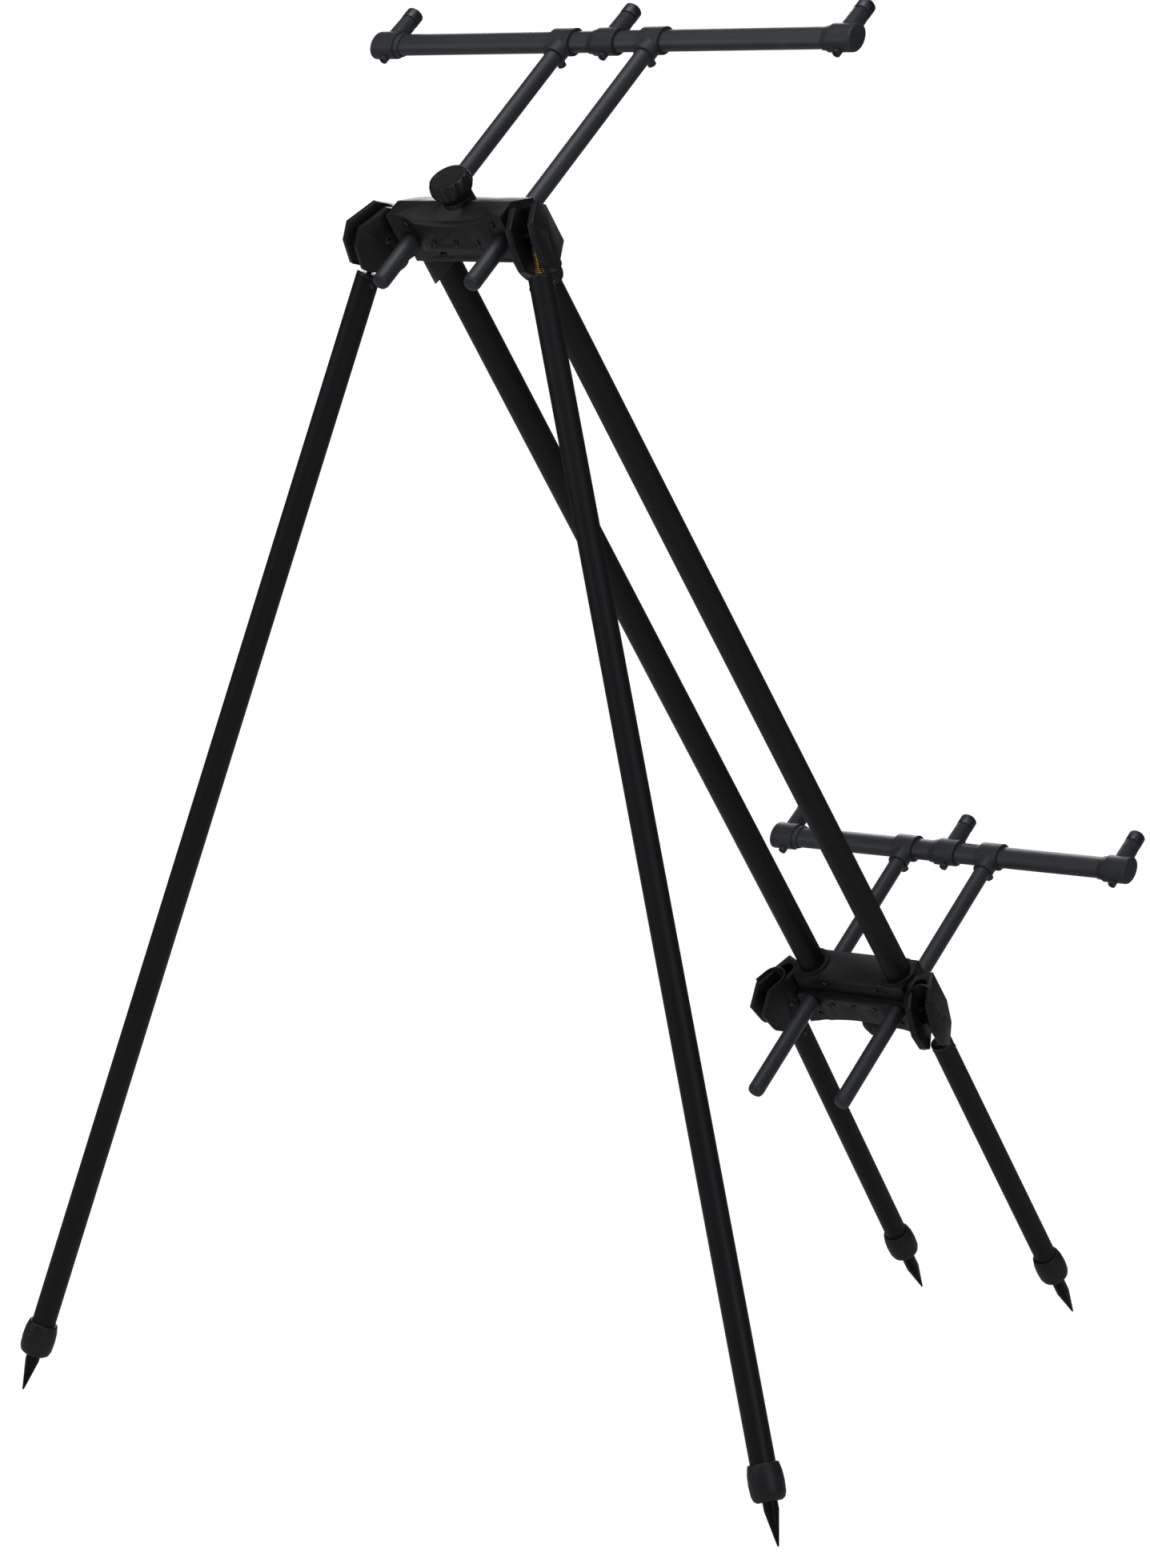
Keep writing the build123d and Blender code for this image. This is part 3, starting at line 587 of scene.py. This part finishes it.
screws = screwTree()
pattern = newObject("screwPattern", screwHeadMesh("screwPattern", screwHead))
seats = []
for part in looseParts("head_screws"):
    centre = sum(part, Vector()) / len(part)
    outer = min(c.dot(stemUp) for c in part)
    axisPoint = centre + (outer - centre.dot(stemUp)) * stemUp
    seats.append(axisPoint + screwHead["height"] * stemUp)
seatMesh = bpy.data.meshes.new("screwSeats")
seatMesh.from_pydata([tuple(s) for s in seats], [], [])
facing = axesMatrix((0, 0, 0), -stemUp, acrossX).to_euler()
heads = grow("headScrewHeads", screws, {
    "Screw": pattern, "Turn": facing, "Material": metalMaterials["screwSteel"]}, seatMesh)
smoothByAngle(heads.data, headShape["smoothBelow"])
attach(heads, bodyOf("head_screws"), metalMaterials["screwSteel"], ("head_screws",))

legRivet = {
    "fromPin": 43 * millimetre,
    "tubeRadius": 11 * millimetre,
    "sunk": 0.15 * millimetre,
    "head": {"radius": 2.3 * millimetre, "height": 1.1 * millimetre, "recess": 0.3 * millimetre,
             "socket": 0.5 * millimetre},
}
for key, direction in legAxis.items():
    for sign in (-1, 1):
        outward = sign * legAcross[key]
        foot = legPin[key] + legRivet["fromPin"] * direction
        place = foot + (legRivet["tubeRadius"] - legRivet["sunk"]) * outward
        rivetMesh = screwHeadMesh("rivet", legRivet["head"])
        rivetMesh.transform(axesMatrix(place, outward, direction))
        rivet = newObject(f"{key}Rivet{'Inner' if sign < 0 else 'Outer'}", rivetMesh)
        attach(rivet, f"{key}_leg", metalMaterials["screwSteel"])
removeObject(pattern)
print("screws and rivets set:", len(seats))


clampKnob = {
    "lobes": 12,
    "lobeDepth": 1.5 * millimetre,
    "around": 240,
    # radius and distance back from the face, in millimetres
    "profile": [(0, 0.8), (9, 0.8), (13.5, 0.5), (15.8, 0.1), (17.2, 0.3), (18.1, 1.2), (18.8, 3.4),
                (19.5, 6.8), (19.7, 9.8), (19.2, 12.4), (17.4, 15.4), (15.2, 18), (13.6, 19.7), (13.2, 20.5),
                (0, 20.5)],
    "fluted": (0.7, 16.4),  # flutes run between these distances
    "fadeOver": 6.0,  # millimetres over which the flutes run out
    "fluteSharpness": 2.2,
    "smoothBelow": 50,
}


def knobMesh(name, settings):
    shape = bmesh.new()
    around = settings["around"]
    first, last = settings["fluted"]
    rings = []
    for radius, back in settings["profile"]:
        if radius == 0:
            rings.append([shape.verts.new((0, 0, -back * millimetre))])
            continue
        ring = []
        for step in range(around):
            angle = 2 * math.pi * step / around
            wave = 0.5 + 0.5 * math.cos(settings["lobes"] * angle)
            inBand = first <= back <= last
            fade = min(1.0, (last - back) / settings["fadeOver"]) if inBand else 0.0
            flute = settings["lobeDepth"] * fade * wave ** settings["fluteSharpness"]
            reach = radius * millimetre - flute
            height = -back * millimetre
            ring.append(shape.verts.new((reach * math.cos(angle), reach * math.sin(angle), height)))
        rings.append(ring)
    for upper, lower in zip(rings, rings[1:]):
        for step in range(around):
            nextStep = (step + 1) % around
            if len(upper) == 1:
                shape.faces.new((upper[0], lower[step], lower[nextStep]))
            elif len(lower) == 1:
                shape.faces.new((upper[nextStep], upper[step], lower[0]))
            else:
                shape.faces.new((upper[nextStep], upper[step], lower[step], lower[nextStep]))
    bmesh.ops.recalc_face_normals(shape, faces=shape.faces)
    mesh = bpy.data.meshes.new(name)
    shape.to_mesh(mesh)
    shape.free()
    smoothByAngle(mesh, settings["smoothBelow"])
    return mesh


for end in ends:
    turn = joints[f"{end}_knob_turn"]
    outward = Vector(turn["axis"]).normalized()
    node = f"{end}_clamp_knob"
    axisPoint = Vector(turn["pos_m"])
    reach = max((c - axisPoint).dot(outward) for part in looseParts(node) for c in part)
    mesh = knobMesh(node + "Lobed", clampKnob)
    mesh.transform(axesMatrix(axisPoint + reach * outward, outward, acrossX))
    attach(newObject(node + "Lobed", mesh), bodyOf(node), mouldedMaterials["knob"], (node,))
print("knobs turned")


cameraSettings = {
    "place": (2.8021, -3.8440, 1.0387),
    "yaw": 38.189,
    "pitch": 4.406,
    "roll": -1.114,
    "lens": 116.27,
    "sensor": 36,
    "shift": (0.02284, -0.0741),
}


def placeCamera(settings):
    yaw, pitch, roll = (math.radians(settings[k]) for k in ("yaw", "pitch", "roll"))
    ahead = Vector((-math.sin(yaw) * math.cos(pitch), math.cos(yaw) * math.cos(pitch), -math.sin(pitch)))
    level = Vector((math.cos(yaw), math.sin(yaw), 0))
    below = ahead.cross(level)
    right = math.cos(roll) * level + math.sin(roll) * below
    down = -math.sin(roll) * level + math.cos(roll) * below
    data = bpy.data.cameras.new("studioCamera")
    data.lens = settings["lens"]
    data.sensor_width = settings["sensor"]
    data.shift_x, data.shift_y = settings["shift"]
    camera = bpy.data.objects.new("studioCamera", data)
    bpy.context.scene.collection.objects.link(camera)
    turn = Matrix((right, -down, -ahead)).transposed().to_4x4()
    camera.matrix_world = Matrix.Translation(Vector(settings["place"])) @ turn
    bpy.context.scene.camera = camera


placeCamera(cameraSettings)

floorSettings = {"size": 400.0, "colour": (0.70, 0.70, 0.70), "roughness": 0.9, "drop": 0.4 * millimetre,
                 "glow": 1.05}
floorMesh = bpy.data.meshes.new("floor")
half = floorSettings["size"] / 2
level = -floorSettings["drop"]
floorCorners = [(-half, -half, level), (half, -half, level), (half, half, level), (-half, half, level)]
floorMesh.from_pydata(floorCorners, [], [(0, 1, 2, 3)])
floor = newObject("floor", floorMesh)
floorMaterial, floorTree, floorShader = nodeMaterial("floorPaint")
floorShader.inputs["Base Color"].default_value = (*floorSettings["colour"], 1)
floorShader.inputs["Roughness"].default_value = floorSettings["roughness"]
# seen directly the floor is plain white, and for the light it stays a pale floor
whiteOut = floorTree.nodes.new("ShaderNodeEmission")
whiteOut.inputs["Strength"].default_value = floorSettings["glow"]
seen = floorTree.nodes.new("ShaderNodeLightPath")
blendIn = floorTree.nodes.new("ShaderNodeMixShader")
floorTree.links.new(seen.outputs["Is Camera Ray"], blendIn.inputs[0])
floorTree.links.new(floorShader.outputs[0], blendIn.inputs[1])
floorTree.links.new(whiteOut.outputs[0], blendIn.inputs[2])
floorTree.links.new(blendIn.outputs[0], floorTree.nodes["Material Output"].inputs["Surface"])
floorMesh.materials.append(floorMaterial)

lights = [
    # name, place, looks at, size, watts, colour
    ("topSoftbox", (0.2, -1.2, 3.8), (0, 0, 0.6), 2.2, 56, (0.96, 0.98, 1.0)),
    ("leftSoftbox", (-2.0, -3.9, 2.4), (0, 0, 0.6), 1.6, 40, (0.94, 0.97, 1.0)),
    ("rightSoftbox", (4.0, -2.0, 2.0), (0, 0, 0.6), 1.8, 44, (0.94, 0.97, 1.0)),
    ("backSoftbox", (-2.6, 3.6, 2.8), (0, 0, 0.6), 2.0, 90, (0.96, 0.98, 1.0)),
]
for name, place, target, size, watts, colour in lights:
    data = bpy.data.lights.new(name, "AREA")
    data.size = size
    data.energy = watts
    data.color = colour
    lamp = bpy.data.objects.new(name, data)
    bpy.context.scene.collection.objects.link(lamp)
    lamp.matrix_world = axesMatrix(place, Vector(place) - Vector(target), acrossX)

worldSettings = {"seen": 1.05, "lighting": 0.09}
world = bpy.data.worlds.new("studio")
world.use_nodes = True
worldTree = world.node_tree
wall = worldTree.nodes["Background"]
wall.inputs["Color"].default_value = (1, 1, 1, 1)
howBright = worldTree.nodes.new("ShaderNodeMapRange")
howBright.inputs["To Min"].default_value = worldSettings["lighting"]
howBright.inputs["To Max"].default_value = worldSettings["seen"]
worldSeen = worldTree.nodes.new("ShaderNodeLightPath")
worldTree.links.new(worldSeen.outputs["Is Camera Ray"], howBright.inputs["Value"])
worldTree.links.new(howBright.outputs["Result"], wall.inputs["Strength"])
bpy.context.scene.world = world
bpy.context.scene.view_settings.view_transform = "Standard"
print("camera, floor and lights ready")
